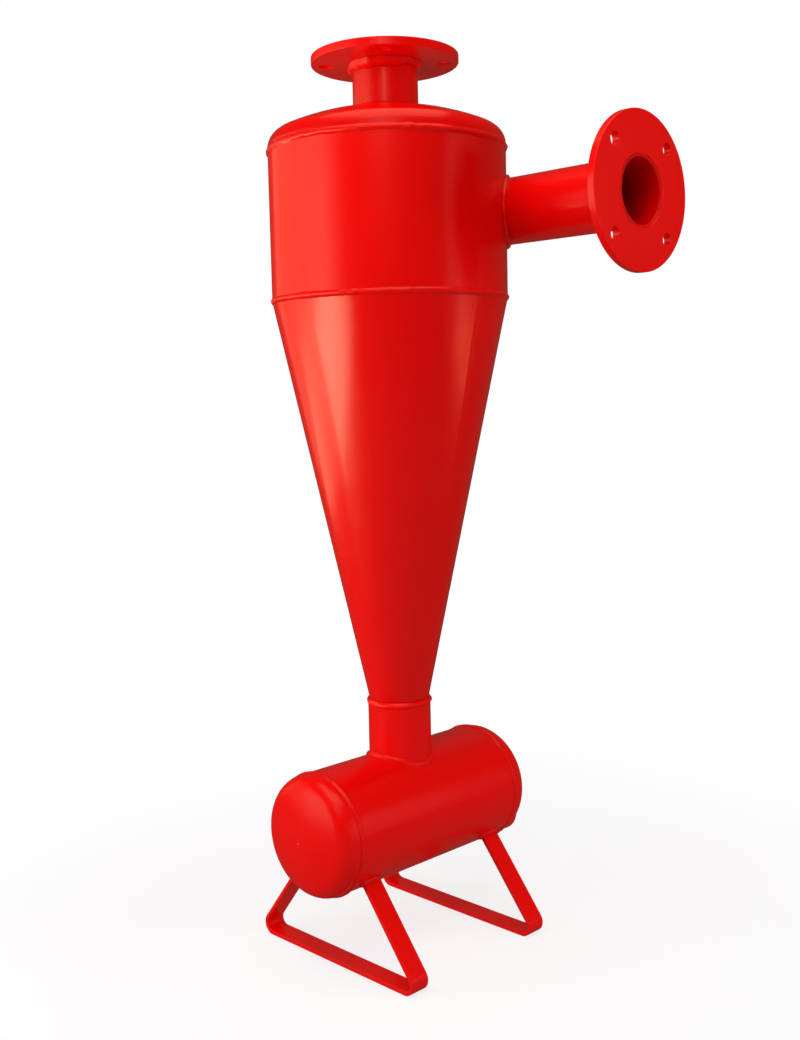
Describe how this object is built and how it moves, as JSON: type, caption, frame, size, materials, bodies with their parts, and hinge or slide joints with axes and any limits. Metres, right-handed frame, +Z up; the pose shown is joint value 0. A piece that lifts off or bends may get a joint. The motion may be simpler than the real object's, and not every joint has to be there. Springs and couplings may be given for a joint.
{
  "type": "cyclone separator",
  "caption": "Standing cyclone separator with a side inlet, a top outlet, a long cone and a lying sediment tank on strap feet.",
  "frame": {"origin": "floor level, under the middle of the whole floor plan; the cyclone's own axis stands 84.5 mm towards -X and 9.5 mm towards -Y of it", "axes": "+Z up the cyclone's axis, +X along the inlet pipe towards its flange, Y along the sediment tank with the drain socket at +Y"},
  "size_m": [0.4988, 0.411, 1.232],
  "materials": {
    "shell_paint": "gloss red paint",
    "pipe_paint": "gloss red paint",
    "flange_paint": "gloss red paint on machined plate",
    "weld_paint": "gloss red paint over a weld bead",
    "strap_paint": "gloss red paint on flat bar"
  },
  "bodies": {
    "root": {"outlet_flange": "flange_paint", "outlet_pipe": "pipe_paint", "outlet_flange_weld": "weld_paint", "outlet_face_weld": "weld_paint", "outlet_head_weld": "weld_paint", "top_head": "shell_paint", "head_seam_weld": "weld_paint", "barrel": "shell_paint", "barrel_cone_weld": "weld_paint", "cone": "shell_paint", "cone_neck_weld": "weld_paint", "inlet_pipe": "pipe_paint", "inlet_barrel_weld": "weld_paint", "inlet_flange": "flange_paint", "inlet_flange_weld": "weld_paint", "inlet_face_weld": "weld_paint", "lower_neck": "pipe_paint", "neck_tank_weld": "weld_paint", "tank_shell": "shell_paint", "tank_front_head": "shell_paint", "tank_front_weld": "weld_paint", "tank_rear_head": "shell_paint", "tank_rear_weld": "weld_paint", "drain_socket": "pipe_paint", "drain_socket_weld": "weld_paint", "front_foot": "strap_paint", "front_foot_weld_left": "weld_paint", "front_foot_weld_right": "weld_paint", "rear_foot": "strap_paint", "rear_foot_weld_left": "weld_paint", "rear_foot_weld_right": "weld_paint"}
  },
  "joints": []
}
